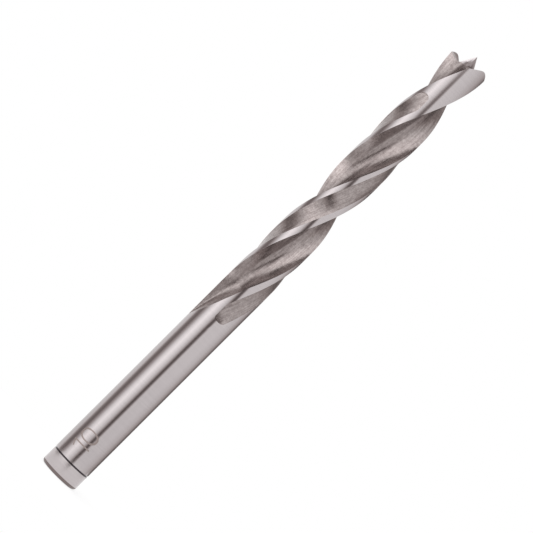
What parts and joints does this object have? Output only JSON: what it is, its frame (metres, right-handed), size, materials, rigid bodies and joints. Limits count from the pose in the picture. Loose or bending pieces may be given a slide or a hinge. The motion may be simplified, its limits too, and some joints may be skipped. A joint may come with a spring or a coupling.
{
  "type": "wood drill bit",
  "caption": "Brad point twist bit for boring wood: plain round shank, helical flutes with ground margins, a centre spike and rim spurs.",
  "frame": {"origin": "centre of the flat end face of the shank", "axes": "+Z along the bit's axis from the shank to the point; the two cutting lips lie along X"},
  "size_m": [0.01, 0.01, 0.133],
  "materials": {
    "tool_steel": "ground"
  },
  "bodies": {
    "root": {"drill_bit": "tool_steel"}
  },
  "joints": []
}
